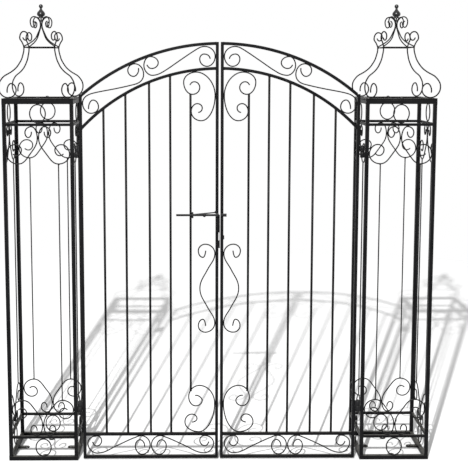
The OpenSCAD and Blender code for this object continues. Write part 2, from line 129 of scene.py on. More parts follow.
@dataclass(frozen=True)
class PowderCoat:
    """Baked polyester powder on steel: a satin film with a fine orange-peel surface.

    Attributes:
        name: The material's name.
        colour: The film's own colour.
        chalk: Its colour where weather has dulled it.
        roughness: The film's roughness where it is sound.
        gloss: How strongly its face reflects, 0.5 for a clear lacquer.
        peel_mm: Width of one dimple of the orange peel.
        peel_depth_mm: Depth of those dimples.
        chips: Share of the surface that is chipped or rubbed to dark steel, 0 to 1.
        dust: How pale the faces that look up are made, 0 to 1: partly a dusting, partly a painted highlight
            of the light from above.
    """

    name: str
    colour: str = "#050506"
    chalk: str = "#0e0e0f"
    roughness: float = 0.38
    gloss: float = 0.07
    peel_mm: float = 2.2
    peel_depth_mm: float = 0.05
    chips: float = 0.02
    dust: float = 0.35

    def material(self) -> bpy.types.Material:
        """Builds the material, or returns it if it was built before.

        Returns:
            The finished material.
        """
        made = bpy.data.materials.get(self.name)
        if made is not None:
            return made
        made = bpy.data.materials.new(self.name)
        made.use_nodes = True
        tree = made.node_tree
        tree.nodes.clear()
        place = add_node(tree, "ShaderNodeTexCoord").outputs["Object"]
        colour, bare = self._colour(tree, place)
        shader = add_node(
            tree,
            "ShaderNodeBsdfPrincipled",
            Base_Color=colour,
            Roughness=self._roughness(tree, place, bare),
            Metallic=bare,
            IOR=1.5,
            Normal=self._relief(tree, place, bare),
        )
        shader.inputs["Specular IOR Level"].default_value = self.gloss
        add_node(tree, "ShaderNodeOutputMaterial", Surface=shader.outputs["BSDF"])
        return made

    def _colour(self, tree: bpy.types.NodeTree, place: bpy.types.NodeSocket) -> tuple:
        """Black film, duller patches, a pale dusting and painted highlight on upward faces, and small dark
        steel chips.
        """
        # Weather dulls the film in patches about a hand wide
        patches = add_node(tree, "ShaderNodeTexNoise", Vector=place, Scale=11.0, Detail=4.0, Roughness=0.6)
        dulled = add_node(
            tree, "ShaderNodeMapRange", Value=patches.outputs["Fac"], From_Min=0.42, From_Max=0.72
        )
        film = add_node(
            tree,
            "ShaderNodeMix",
            {"data_type": "RGBA"},
            i0=dulled.outputs["Result"],
            i6=linear(self.colour),
            i7=linear(self.chalk),
        )
        # Upward faces are made paler: partly a dusting, partly a painted highlight of the light from above.
        # It breaks up in specks of about 4 mm
        facing = add_node(tree, "ShaderNodeNewGeometry").outputs["Normal"]
        up = add_node(tree, "ShaderNodeSeparateXYZ", Vector=facing)
        level = add_node(tree, "ShaderNodeMapRange", Value=up.outputs["Z"], From_Min=0.55, From_Max=1.0)
        specks = add_node(tree, "ShaderNodeTexNoise", Vector=place, Scale=240.0, Detail=3.0, Roughness=0.7)
        speckle = add_node(
            tree, "ShaderNodeMapRange", Value=specks.outputs["Fac"], From_Min=0.3, From_Max=0.7
        )
        dust_and_sheen_mask = add_node(
            tree,
            "ShaderNodeMath",
            {"operation": "MULTIPLY"},
            i0=level.outputs["Result"],
            i1=speckle.outputs["Result"],
        )
        dust = add_node(
            tree, "ShaderNodeMath", {"operation": "MULTIPLY"}, i0=dust_and_sheen_mask.outputs["Value"], i1=self.dust
        )
        # The pale grey on upward faces is partly a dusting and partly a painted highlight of the light from
        # above
        film_with_dust_and_sheen = add_node(
            tree,
            "ShaderNodeMix",
            {"data_type": "RGBA"},
            i0=dust.outputs["Value"],
            i6=film.outputs[2],
            i7=linear("#7a7872"),
        )
        # Chips are 1 to 3 mm across and show dull, dark steel
        grain = add_node(tree, "ShaderNodeTexNoise", Vector=place, Scale=330.0, Detail=2.0, Roughness=0.5)
        edge = 0.78 - self.chips
        bare = add_node(
            tree, "ShaderNodeMapRange", Value=grain.outputs["Fac"], From_Min=edge, From_Max=edge + 0.03
        ).outputs["Result"]
        worn = add_node(
            tree, "ShaderNodeMix", {"data_type": "RGBA"}, i0=bare, i6=film_with_dust_and_sheen.outputs[2], i7=linear("#56534f")
        )
        return worn.outputs[2], bare

    def _roughness(
        self, tree: bpy.types.NodeTree, place: bpy.types.NodeSocket, bare: bpy.types.NodeSocket
    ) -> bpy.types.NodeSocket:
        """Satin film whose gloss wanders a little, rougher where it is bare."""
        drift = add_node(tree, "ShaderNodeTexNoise", Vector=place, Scale=28.0, Detail=3.0, Roughness=0.55)
        film = add_node(
            tree,
            "ShaderNodeMapRange",
            Value=drift.outputs["Fac"],
            To_Min=self.roughness - 0.08,
            To_Max=self.roughness + 0.12,
        )
        worn = add_node(
            tree, "ShaderNodeMath", {"operation": "MULTIPLY_ADD"}, i0=bare, i1=0.15, i2=film.outputs["Result"]
        )
        return worn.outputs["Value"]

    def _relief(
        self, tree: bpy.types.NodeTree, place: bpy.types.NodeSocket, bare: bpy.types.NodeSocket
    ) -> bpy.types.NodeSocket:
        """Orange peel from noise one dimple wide, and a step down into each chip."""
        # Real peel is under 1 mm wide. It is drawn at peel_mm, the finest that still shows
        peel = add_node(
            tree,
            "ShaderNodeTexNoise",
            Vector=place,
            Scale=1.0 / (self.peel_mm * MM),
            Detail=1.5,
            Roughness=0.4,
        )
        step = add_node(
            tree, "ShaderNodeMath", {"operation": "MULTIPLY_ADD"}, i0=bare, i1=-1.2, i2=peel.outputs["Fac"]
        )
        bump = add_node(
            tree,
            "ShaderNodeBump",
            Height=step.outputs["Value"],
            Strength=0.6,
            Distance=self.peel_depth_mm * MM,
        )
        return bump.outputs["Normal"]


TUBE_COAT = PowderCoat("black_powder_coat_on_drawn_tube")
ROD_COAT = PowderCoat("black_powder_coat_on_drawn_rod", roughness=0.36, peel_mm=1.8)
WIRE_COAT = PowderCoat("black_powder_coat_on_bent_wire", roughness=0.36, peel_mm=1.6, dust=0.25)
TURNED_COAT = PowderCoat("black_powder_coat_on_turned_steel", roughness=0.27, gloss=0.4, peel_mm=2.0)
WELD_COAT = PowderCoat("black_powder_coat_over_weld", roughness=0.45, peel_mm=1.2, peel_depth_mm=0.09)
RUBBED_COAT = PowderCoat(
    "rubbed_black_coat_on_running_steel", colour="#0c0c0d", chalk="#1c1c1d", chips=0.09, dust=0.2
)
ZINC_COAT = PowderCoat(
    "black_passivated_zinc_on_screws", colour="#0f0f10", chalk="#1f1f20", roughness=0.3, gloss=0.4, chips=0.05
)


# ---- surfaces -------------------------------------------------------------------------


def unit_rows(rows: np.ndarray) -> np.ndarray:
    """Each row scaled to length 1."""
    return rows / np.maximum(np.linalg.norm(rows, axis=-1, keepdims=True), 1e-12)


def headings(degrees: np.ndarray) -> np.ndarray:
    """Unit vectors in the plane, from headings in degrees: 0 is +u and 90 is up."""
    return np.stack([np.cos(np.radians(degrees)), np.sin(np.radians(degrees))], axis=-1)


def scroll_path(keys: list, steps: int = 14) -> np.ndarray:
    """Smooth line through key points [u, z, heading], as a smith bends a scroll.

    Between two keys it is a cubic curve that leaves and arrives along their headings.
    Its handles are grip times the part of the chord that lies along the heading, and
    grip grows from 0.34 on a straight run to 0.55 on a quarter turn, which makes a
    quarter turn a quarter of an ellipse.

    Args:
        keys: The key points.
        steps: Points in each stretch.

    Returns:
        The points, as an array of n by 2.
    """
    key = np.array(keys, dtype=float)
    start, end = key[:-1], key[1:]
    leave, arrive = headings(start[:, 2]), headings(end[:, 2])
    turn = np.abs((end[:, 2] - start[:, 2] + 540.0) % 360.0 - 180.0)
    grip = (0.34 + 0.21 * np.minimum(turn, 90.0) / 90.0)[:, None]
    chord = end[:, :2] - start[:, :2]
    first = start[:, :2] + grip * (chord * leave).sum(1, keepdims=True) * leave
    second = end[:, :2] - grip * (chord * arrive).sum(1, keepdims=True) * arrive
    t = np.linspace(0.0, 1.0, steps, endpoint=False)[None, :, None]
    line = (
        start[:, None, :2] * (1 - t) ** 3
        + 3 * first[:, None] * t * (1 - t) ** 2
        + 3 * second[:, None] * t**2 * (1 - t)
        + end[:, None, :2] * t**3
    )
    return np.vstack([line.reshape(-1, 2), key[-1:, :2]])


def upright(path: np.ndarray, depth: float = 0.0) -> np.ndarray:
    """Stands a path of (u, z) points up in the plane y = depth."""
    return np.stack([path[:, 0], np.full(len(path), depth), path[:, 1]], axis=1)


def circle(radius: float, sides: int = 12) -> np.ndarray:
    """Points of a circle, anticlockwise."""
    angle = 2 * np.pi * (np.arange(sides) + 0.5) / sides
    return radius * np.stack([np.cos(angle), np.sin(angle)], axis=1)


def rounded_bar(width: float, height: float, corner: float, steps: int = 4) -> tuple[np.ndarray, np.ndarray]:
    """Section of a rolled bar or tube: a rectangle with its corners as quarter circles.

    Args:
        width: Size along the section's first direction.
        height: Size along its second direction.
        corner: Radius of the corners.
        steps: Edges in each corner.

    Returns:
        The points, anticlockwise, and for each edge whether it belongs to a corner.
    """
    angle = np.radians(np.linspace(0, 90, steps + 1)[None, :] + np.arange(4)[:, None] * 90)
    sign = np.array([[1, 1], [-1, 1], [-1, -1], [1, -1]])
    centre = sign * np.array([width / 2 - corner, height / 2 - corner])
    points = centre[:, None, :] + corner * np.stack([np.cos(angle), np.sin(angle)], axis=-1)
    curved = np.tile(np.arange(steps + 1) < steps, 4)
    return points.reshape(-1, 2), curved


def carried(
    path: np.ndarray,
    section: np.ndarray,
    side: np.ndarray,
    scale: np.ndarray | float = 1.0,
    closed: bool = False,
) -> np.ndarray:
    """Carries a section along a path: point = path + u * across + v * side.

    Args:
        path: Points of the path, n by 3.
        section: Points (u, v) of the section, m by 2.
        side: Direction of v, the same all along the path or one for each point.
        scale: Size of the section at each point.
        closed: True if the path comes back to its start.

    Returns:
        A grid of n by m points.
    """
    if closed:
        travel = np.roll(path, -1, axis=0) - np.roll(path, 1, axis=0)
    else:
        travel = np.gradient(path, axis=0)
    travel = unit_rows(travel)
    side_rows = np.broadcast_to(side, path.shape)
    across = unit_rows(np.cross(side_rows, travel))
    size = np.broadcast_to(scale, (len(path),))[:, None, None]
    return path[:, None, :] + size * (
        section[None, :, 0, None] * across[:, None, :] + section[None, :, 1, None] * side_rows[:, None, :]
    )


def domed_ends(path: np.ndarray, radius: float, rings: int = 5) -> tuple[np.ndarray, np.ndarray]:
    """Adds half a ball to each end of a wire's path.

    Ring k stands radius * sin(a) past the end and is cos(a) times as wide.

    Args:
        path: Points of the wire's centre line, n by 3.
        radius: The wire's radius.
        rings: Rings in each dome.

    Returns:
        The longer path and the width of each of its rings.
    """
    angle = np.radians(np.linspace(86, 0, rings, endpoint=False))
    reach, width = radius * np.sin(angle), np.cos(angle)
    head = unit_rows(path[:1] - path[1:2])
    tail = unit_rows(path[-1:] - path[-2:-1])
    longer = np.vstack([path[:1] + reach[:, None] * head, path, path[-1:] + reach[::-1, None] * tail])
    return longer, np.concatenate([width, np.ones(len(path)), width[::-1]])


def turned_about_z(points: np.ndarray, degrees: float) -> np.ndarray:
    """Points turned about the Z axis."""
    c, s = math.cos(math.radians(degrees)), math.sin(math.radians(degrees))
    return points @ np.array([[c, s, 0.0], [-s, c, 0.0], [0.0, 0.0, 1.0]])


def lathe(profile: np.ndarray, sides: int = 32) -> np.ndarray:
    """Spins a profile of (radius, z) about Z: x = r cos(a), y = r sin(a).

    Args:
        profile: The profile, k by 2.
        sides: Steps in the full turn.

    Returns:
        A grid of k by sides points.
    """
    angle = 2 * np.pi * np.arange(sides) / sides
    radius, height = profile[:, :1], profile[:, 1:]
    return np.stack(
        [
            radius * np.cos(angle),
            radius * np.sin(angle),
            np.broadcast_to(height, (len(profile), sides)),
        ],
        axis=-1,
    )


def along(points: np.ndarray, axis: str) -> np.ndarray:
    """Lays a shape whose axis is Z down along another axis, x or -y."""
    x, y, z = points[..., 0], points[..., 1], points[..., 2]
    return np.stack([z, x, y], axis=-1) if axis == "x" else np.stack([x, -z, y], axis=-1)


@dataclass
class Piece:
    """Grids of points that become one mesh object.

    Attributes:
        name: The object's name.
        points: The grids added so far, flattened.
        faces: Faces as lists of point numbers.
        smooth: For each face, whether it is shaded smooth.
        count: How many points there are so far.
    """

    name: str
    points: list = field(default_factory=list)
    faces: list = field(default_factory=list)
    smooth: list = field(default_factory=list)
    count: int = 0

    def add(
        self,
        grid: np.ndarray,
        curved: np.ndarray | None = None,
        loop: bool = False,
        ends: bool = True,
    ) -> None:
        """Adds a grid whose columns close into a ring.

        Args:
            grid: Rows by columns by 3.
            curved: For each column, whether its faces are shaded smooth. All are, if left out.
            loop: True if the last row joins the first one.
            ends: True to close the first and last row with a face, where they don't join.
        """
        rows, columns, _ = grid.shape
        number = np.arange(rows * columns).reshape(rows, columns) + self.count
        wide = np.concatenate([number, number[:, :1]], axis=1)
        if loop:
            wide = np.concatenate([wide, wide[:1]], axis=0)
        quads = np.stack([wide[:-1, :-1], wide[:-1, 1:], wide[1:, 1:], wide[1:, :-1]], axis=-1)
        self.faces.extend(quads.reshape(-1, 4).tolist())
        soft = np.ones(columns, dtype=bool) if curved is None else curved
        self.smooth.extend(np.tile(soft, quads.shape[0]).tolist())
        if ends and not loop:
            self.faces.extend([number[0, ::-1].tolist(), number[-1].tolist()])
            self.smooth.extend([False, False])
        self.points.append(grid.reshape(-1, 3))
        self.count += rows * columns

    def finish(self, body: str, coat: PowderCoat, slot: str, nodes: list[str]) -> bpy.types.Object:
        """Makes the object, gives it its coat and fixes it to the frame.

        Args:
            body: The body that it rides on.
            coat: Its finish.
            slot: The record's material slot for it. Not used.
            nodes: The nodes that it stands for.

        Returns:
            The new object, at the origin.
        """
        mesh = bpy.data.meshes.new(self.name)
        mesh.from_pydata((np.concatenate(self.points) * MM).tolist(), [], self.faces)
        mesh.polygons.foreach_set("use_smooth", self.smooth)
        work = bmesh.new()
        work.from_mesh(mesh)
        bmesh.ops.recalc_face_normals(work, faces=work.faces)
        work.to_mesh(mesh)
        work.free()
        mesh.materials.append(coat.material())
        made = bpy.data.objects.new(self.name, mesh)
        bpy.context.scene.collection.objects.link(made)
        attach(made, body)
        if nodes:
            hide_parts(*nodes)
        log.info("%s: %d points, rides on %s", self.name, self.count, body)
        return made


def ripple(points: np.ndarray) -> np.ndarray:
    """Fixed, wavy value from -1 to 1 for each point: a product of sines of its place."""
    x, y, z = points[..., 0], points[..., 1], points[..., 2]
    return np.sin(1.9 * x + 0.7 * z) * np.sin(2.3 * y + 1.1 * z) * np.sin(1.3 * x - 2.1 * y + 2.7 * z)


def weld_spot(centre: np.ndarray, radius: float, stretch: tuple[float, float, float]) -> np.ndarray:
    """Lump of weld: a ball, stretched, whose radius wavers by about an eighth.

    Args:
        centre: Where it sits.
        radius: Its mean radius.
        stretch: How far it reaches along X, Y and Z, in radii.

    Returns:
        A grid of points from pole to pole.
    """
    polar = np.radians(np.linspace(6, 174, 7))
    ball = lathe(np.stack([np.sin(polar), np.cos(polar)], axis=1), 10)
    wavy = 1.0 + 0.12 * ripple(ball * 2.0 + centre * 0.3)
    return centre + radius * wavy[..., None] * ball * np.array(stretch)


def weld_seam(path: np.ndarray, radius: float, closed: bool = False) -> np.ndarray:
    """Bead of weld along a path, swelling about every 1.5 mm as the torch steps on.

    Args:
        path: Points along the seam, close together.
        radius: The bead's mean radius.
        closed: True if the seam comes back to its start.

    Returns:
        A grid of points.
    """
    run = np.concatenate([[0.0], np.cumsum(np.linalg.norm(np.diff(path, axis=0), axis=1))])
    swell = 1.0 + 0.16 * np.sin(2 * np.pi * run / 1.5) + 0.1 * ripple(path)
    travel = unit_rows(np.gradient(path, axis=0))
    side = unit_rows(np.cross(travel, np.array([0.31, 0.17, 0.94])))
    return carried(path, circle(radius, 6), side, swell, closed)


def square_seam(centre: np.ndarray, half: float, normal: str, step: float = 0.75) -> np.ndarray:
    """Path of points round a square of a tube's end, as a closed loop.

    Args:
        centre: The middle of the square.
        half: Half of its side.
        normal: The axis, x, y or z, that it faces.
        step: Distance between the points.

    Returns:
        The points, n by 3.
    """
    per_side = max(int(2 * half / step), 2)
    run = np.linspace(-half, half, per_side, endpoint=False)
    full = np.full(per_side, half)
    a = np.concatenate([run, full, -run, -full])
    b = np.concatenate([-full, run, full, -run])
    first, second = [AXES[k] for k in "xyz" if k != normal]
    return centre + a[:, None] * first + b[:, None] * second


# ---- pillars --------------------------------------------------------------------------


@dataclass
class Pillar:
    """One lattice pillar with its pagoda cap. Sizes are in millimetres.

    The pillar is made about its own axis at the origin and moved out to its place.

    Attributes:
        side: Left or right.
        post_t: Side of the corner posts' tube.
        tube_corner: Outer corner radius of the tubes.
        wire_r: Radius of the bent wire.
        rod_r: Radius of the thin uprights.
        rod_u: Distance of the uprights from the middle of their face.
        anchor_r: Distance of the anchor holes from the pillar's axis.
        sink: How far welded wire sinks into what it is welded to.
    """

    side: Side
    post_t: float = 10.5
    tube_corner: float = 1.3
    wire_r: float = 1.75
    rod_r: float = 1.75
    rod_u: float = 56.5
    anchor_r: float = 66.0
    sink: float = 0.15
    body: str = "pillars"
    welds: list = field(default_factory=list)

    def __post_init__(self) -> None:
        """Reads the pillar's place and its main heights from the frame."""
        low, high = self._box("base_frame")
        self.centre = np.array([(low[0] + high[0]) / 2, (low[1] + high[1]) / 2, 0.0])
        self.half = (high[0] - low[0]) / 2
        self.frame_t = high[2] - low[2]
        self.low_rail = tuple(v[2] for v in self._box("lower_rails"))
        self.high_rail = tuple(v[2] for v in self._box("upper_rails"))
        self.top_frame = tuple(v[2] for v in self._box("top_frame"))
        self.cap_bar = tuple(v[2] for v in self._box("cap_bars"))
        self.panel_half = self.half - self.post_t
        self.panel_u = self.half - self.wire_r

    def _box(self, part: str) -> tuple[np.ndarray, np.ndarray]:
        """Lowest and highest corner of one of this pillar's nodes, in millimetres."""
        low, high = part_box(f"{self.side.word}_{part}")
        return np.array(low) / MM, np.array(high) / MM

    def _piece(self, name: str) -> Piece:
        """A piece with this pillar's name on it."""
        return Piece(f"{self.side.word}_pillar_{name}")

    def _done(self, piece: Piece, coat: PowderCoat, slot: str, *parts: str) -> None:
        """Moves the piece out to the pillar's place and finishes it."""
        piece.points = [p + self.centre for p in piece.points]
        piece.finish(self.body, coat, slot, [f"{self.side.word}_{part}" for part in parts])

    def _four(
        self,
        piece: Piece,
        grid: np.ndarray,
        curved: np.ndarray | None = None,
        start: float = 0.0,
        **how: bool,
    ) -> None:
        """Adds a grid four times, a quarter turn apart, from the angle start."""
        for quarter in range(4):
            piece.add(turned_about_z(grid, start + 90 * quarter), curved, **how)

    def _weld(self, grid: np.ndarray, start: float = 0.0) -> None:
        """Keeps a weld for each of the four faces, or corners."""
        self.welds.extend(turned_about_z(grid, start + 90 * quarter) for quarter in range(4))

    def build(self) -> None:
        """Makes every piece of the pillar, from the ground up."""
        self.posts()
        self.frames()
        self.rails()
        self.rings()
        self.scrolls()
        self.rods()
        self.tabs()
        self.cap()
        self.finial()
        self.weld_beads()

    def posts(self) -> None:
        """Four corner posts: square tube between the two end frames."""
        section, curved = rounded_bar(self.post_t, self.post_t, self.tube_corner)
        centre = -self.half + self.post_t / 2
        ends = np.array([[centre, centre, self.frame_t], [centre, centre, self.top_frame[0]]])
        piece = self._piece("corner_posts")
        self._four(piece, carried(ends, section, AXES["y"]), curved)
        self._done(piece, TUBE_COAT, "frame_coat", "posts")
        for z in (ends[0, 2], ends[1, 2]):
            loop = square_seam(np.array([centre, centre, z]), self.post_t / 2 - 0.3, "z")
            self._weld(weld_seam(np.vstack([loop, loop[:1]]), 0.9))

    def _mitred(self, half: float, section: np.ndarray, z: float) -> np.ndarray:
        """Square frame: the section (out, up) is carried round four mitred corners."""
        corner = np.array([[-1, -1], [1, -1], [1, 1], [-1, 1]], dtype=float)
        plan = corner[:, None, :] * (half + section[None, :, 0, None])
        height = np.broadcast_to(z + section[None, :, 1], plan.shape[:2])
        return np.concatenate([plan, height[..., None]], axis=-1)

    def frames(self) -> None:
        """Bottom frame, top frame and the flat bars under the cap, all mitred."""
        tube, curved = rounded_bar(self.frame_t, self.frame_t, self.tube_corner)
        middle = self.half - self.frame_t / 2
        for name, low in (("base_frame", 0.0), ("top_frame", self.top_frame[0])):
            piece = self._piece(name)
            piece.add(self._mitred(middle, tube, low + self.frame_t / 2), curved, loop=True)
            self._done(piece, TUBE_COAT, "frame_coat", name)
            # A ground-back weld shows as a faint ridge along each mitre
            inner, outer = middle - self.frame_t / 2 + 1, middle + self.frame_t / 2 - 1
            top = low + self.frame_t - 0.25
            run = np.linspace(inner, outer, 24)
            self._weld(weld_seam(np.stack([run, run, np.full(24, top)], axis=1), 0.55))
        bar_low, bar_high = self.cap_bar
        low, high = self._box("cap_bars")
        bar_w = 20.0
        flat, flat_curved = rounded_bar(bar_w, bar_high - bar_low, 0.7, 3)
        piece = self._piece("cap_flat_bars")
        outer_half = (high[0] - low[0]) / 2
        bar_ring = self._mitred(outer_half - bar_w / 2, flat, (bar_low + bar_high) / 2)
        piece.add(bar_ring, flat_curved, loop=True)
        self._done(piece, TUBE_COAT, "frame_coat", "cap_bars")

    def rails(self) -> None:
        """Lower and upper rails: square tube between the posts, flush with the faces."""
        for name, (low, high) in (("lower_rails", self.low_rail), ("upper_rails", self.high_rail)):
            size = high - low
            section, curved = rounded_bar(size, size, 1.0)
            y, z = -self.half + size / 2, (low + high) / 2
            ends = np.array([[-self.panel_half, y, z], [self.panel_half, y, z]])
            piece = self._piece(name)
            self._four(piece, carried(ends, section, AXES["z"]), curved)
            self._done(piece, TUBE_COAT, "frame_coat", name)
            for x in (-self.panel_half, self.panel_half):
                loop = square_seam(np.array([x, y, z]), size / 2 - 0.2, "x")
                self._weld(weld_seam(np.vstack([loop, loop[:1]]), 0.8))

    def rings(self) -> None:
        """Oval wire rings between the rails and the end frames."""
        piece = self._piece("oval_rings")
        angle = 2 * np.pi * np.arange(56) / 56
        for low, high in ((self.frame_t, self.low_rail[0]), (self.high_rail[1], self.top_frame[0])):
            tall = (high - low) / 2 + self.sink - self.wire_r
            wide = tall - 3.5
            path = upright(np.stack([wide * np.cos(angle), (low + high) / 2 + tall * np.sin(angle)], axis=1))
            path[:, 1] = -self.panel_u
            self._four(piece, carried(path, circle(self.wire_r), AXES["y"], closed=True), loop=True)
            for z in (low, high):
                self._weld(weld_spot(np.array([0.0, -self.panel_u, z]), 2.2, (2.0, 0.8, 0.45)))
        self._done(piece, WIRE_COAT, "scroll_coat", "panel_rings")

    def _panel_keys(self) -> list:
        """Left scroll of the pair that stands on a rail, with z from the rail's face."""
        touch = -self.panel_half + self.wire_r - self.sink
        return [
            [-70, 79, 40], [-60, 83, 0], [-47, 67, 270], [-65, 52, 180], [touch, 79, 90],
            [-57, 106.5, 0], [-21, 76, 306], [-self.wire_r - 0.15, 33, 270],
            [-18, self.wire_r - self.sink, 180], [-36, 18, 90], [-27, 32, 0], [-18, 17, 268],
        ]  # fmt: skip

    def scrolls(self) -> None:
        """Pairs of C-scrolls that stand on the lower rails and hang from the upper ones."""
        keys = self._panel_keys()
        flat = scroll_path(keys)
        rows = (("lower_scrolls", self.low_rail[1], 1.0), ("upper_scrolls", self.high_rail[0], -1.0))
        for name, rail_z, way in rows:
            piece = self._piece(name)
            for hand in (-1.0, 1.0):
                line = np.stack([-hand * flat[:, 0], rail_z + way * flat[:, 1]], axis=1)
                path, width = domed_ends(upright(line, -self.panel_u), self.wire_r)
                self._four(piece, carried(path, circle(self.wire_r), AXES["y"], width))
                for u, z, stretch in (
                    (keys[8][0], 0.2, (1.9, 0.9, 0.5)),
                    (keys[4][0] - 1.6, keys[4][1], (0.5, 0.9, 1.9)),
                    (keys[5][0], keys[5][1] + 1.8, (1.5, 0.9, 0.8)),
                ):
                    spot = np.array([-hand * u, -self.panel_u, rail_z + way * z])
                    self._weld(weld_spot(spot, 2.0, stretch))
            joint = np.array([0.0, -self.panel_u, rail_z + way * keys[7][1]])
            self._weld(weld_spot(joint, 2.0, (0.9, 0.9, 1.9)))
            self._done(piece, WIRE_COAT, "scroll_coat", name)

    def rods(self) -> None:
        """Thin upright rods between the loops of the lower and the upper scrolls."""
        low, high = (v[2] for v in self._box("panel_rods"))
        piece = self._piece("panel_rods")
        for u in (-self.rod_u, self.rod_u):
            ends = np.array([[u, -self.panel_u, low], [u, -self.panel_u, high]])
            self._four(piece, carried(ends, circle(self.rod_r), AXES["y"]))
        self._done(piece, ROD_COAT, "bar_coat", "panel_rods")

    def tabs(self) -> None:
        """Anchor tabs: strip with a round end and a hole, pressed flat on the ground.

        Each ray from the hole's middle meets the hole, then the outline. The section
        along that ray is the strip's thickness with its four edges broken.
        """
        hole_y, width, thick, hole_r = -self.anchor_r, 17.0, 3.0, 4.25
        angle = np.radians(np.arange(0, 360, 6.0))
        away = np.stack([np.cos(angle), np.sin(angle)], axis=1)
        back = -(self.half - self.frame_t + 0.5) - hole_y
        reach = np.full(len(angle), width / 2)
        outward = away[:, 1] < 0
        to_side = (width / 2) / np.maximum(np.abs(away[:, 0]), 1e-6)
        to_back = back / np.minimum(away[:, 1], -1e-6)
        reach[outward] = np.minimum(to_side, to_back)[outward]
        edge = 0.5
        ring = np.array([[0, edge], [0, thick - edge], [edge, thick]])
        inner = np.stack([hole_r + ring[:, 0], ring[:, 1]], axis=1)
        rows = [
            *[(np.full(len(angle), r), z) for r, z in inner],
            (reach - edge, thick),
            (reach, thick - edge),
            (reach, edge),
            (reach - edge, 0.0),
            (np.full(len(angle), hole_r + edge), 0.0),
        ]
        grid = np.stack(
            [
                np.stack([r * away[:, 0], hole_y + r * away[:, 1], np.full(len(angle), z)], axis=1)
                for r, z in rows
            ],
            axis=1,
        )
        flat = np.array([False] * len(rows))
        piece = self._piece("anchor_tabs")
        self._four(piece, grid, flat, loop=True)
        self._done(piece, TUBE_COAT, "tab_coat", "anchor_tabs")
        run = np.linspace(-width / 2, width / 2, 28)
        seam = np.stack([run, np.full(28, -(self.half - self.frame_t)), np.full(28, thick)], axis=1)
        self._weld(weld_seam(seam, 1.0))

    def cap(self) -> None:
        """Four ribs, the square ring that ties them, and the scrolls of the spire."""
        base = self.cap_bar[1]
        rib = [
            [121, 17, 80], [108, 41, 180], [91, 22, 270], [118, self.wire_r - self.sink, 0],
            [149.5, 31, 90], [140, 53, 132], [122, 66, 156], [101, 76.5, 148], [80, 95, 128],
            [67, 117, 108], [61.7, 143, 84], [67, 156, 62], [75, 169, 90], [61, 187, 180],
            [47, 175, 270], [56, 163, 0], [64, 169, 60],
        ]  # fmt: skip
        throat = self.wire_r * math.sqrt(2) + 0.2
        spire = [
            [58.5, 147, 160], [42.5, 154, 154], [25, 165, 140], [12.5, 182, 117],
            [throat, 207, 92], [24, 230, 0], [38, 216, 270], [29, 200, 180], [21, 210, 90],
            [28, 217, 20],
        ]  # fmt: skip
        for name, keys, radius in (
            ("cap_ribs", rib, self.wire_r + 0.15),
            ("spire_scrolls", spire, self.wire_r),
        ):
            line = scroll_path(keys)
            line[:, 1] += base
            path, width = domed_ends(upright(line), radius)
            piece = self._piece(name)
            self._four(piece, carried(path, circle(radius), AXES["y"], width), start=45)
            self._done(piece, WIRE_COAT, "cap_coat", name)
        low, high = self._box("cap_ring")
        ring_r = self.wire_r + 0.1
        piece = self._piece("cap_ring")
        ring_half = (high[0] - low[0]) / 2 - ring_r
        piece.add(self._mitred(ring_half, circle(ring_r), (low[2] + high[2]) / 2), loop=True)
        self._done(piece, WIRE_COAT, "cap_coat", "cap_ring")
        self._weld(weld_spot(np.array([rib[3][0], 0.0, base + 0.2]), 2.2, (2.2, 0.9, 0.5)), start=45)
        seat = np.array([rib[10][0] - 1.6, 0.0, (low[2] + high[2]) / 2])
        self._weld(weld_spot(seat, 2.3, (1.1, 1.0, 1.3)), start=45)
        self._weld(weld_spot(np.array([throat, 0.0, base + spire[4][1] - 6]), 1.6, (0.9, 0.9, 3.4)), start=45)

    def finial(self) -> None:
        """Turned finial: a collar, an onion bulb with a bead round it, a neck and a ball."""
        low, high = self._box("finial")
        foot = low[2] + 24.0
        tip = high[2] - foot
        collar = [[0.05, 0], [6.5, 0], [7.8, 0.6], [8.1, 1.6], [7.6, 2.6], [6.4, 3.2], [6.2, 4.0]]
        bulb = [[7.6, 4.9], [9.8, 6.6], [11.3, 9.0], [11.8, 11.6], [11.5, 13.6], [10.4, 16.2], [8.4, 18.8]]
        neck = [[6.2, 21.2], [4.4, 23.6], [3.1, 25.8], [2.7, 27.2], [3.6, 27.8], [3.9, 28.4], [3.4, 29.0]]
        middle = tip - 6.0
        angle = np.radians(np.linspace(-58, 89, 12))
        ball = np.stack([5.9 * np.cos(angle), middle + 6.0 * np.sin(angle)], axis=1)
        profile = np.vstack([collar, bulb, neck, ball])
        piece = self._piece("finial")
        piece.add(lathe(profile, 36) + np.array([0.0, 0.0, foot]))
        stem = np.array([[0.05, -24.0], [1.6, -23.0], [1.9, -21.0], [1.9, 0.5], [0.05, 1.0]])
        piece.add(lathe(stem, 16) + np.array([0.0, 0.0, foot]))
        self._done(piece, TURNED_COAT, "finial_coat", "finial")

    def weld_beads(self) -> None:
        """All of the pillar's welds as one piece."""
        piece = self._piece("weld_beads")
        for grid in self.welds:
            piece.add(grid)
        self._done(piece, WELD_COAT, "frame_coat")


# ---- leaves ---------------------------------------------------------------------------


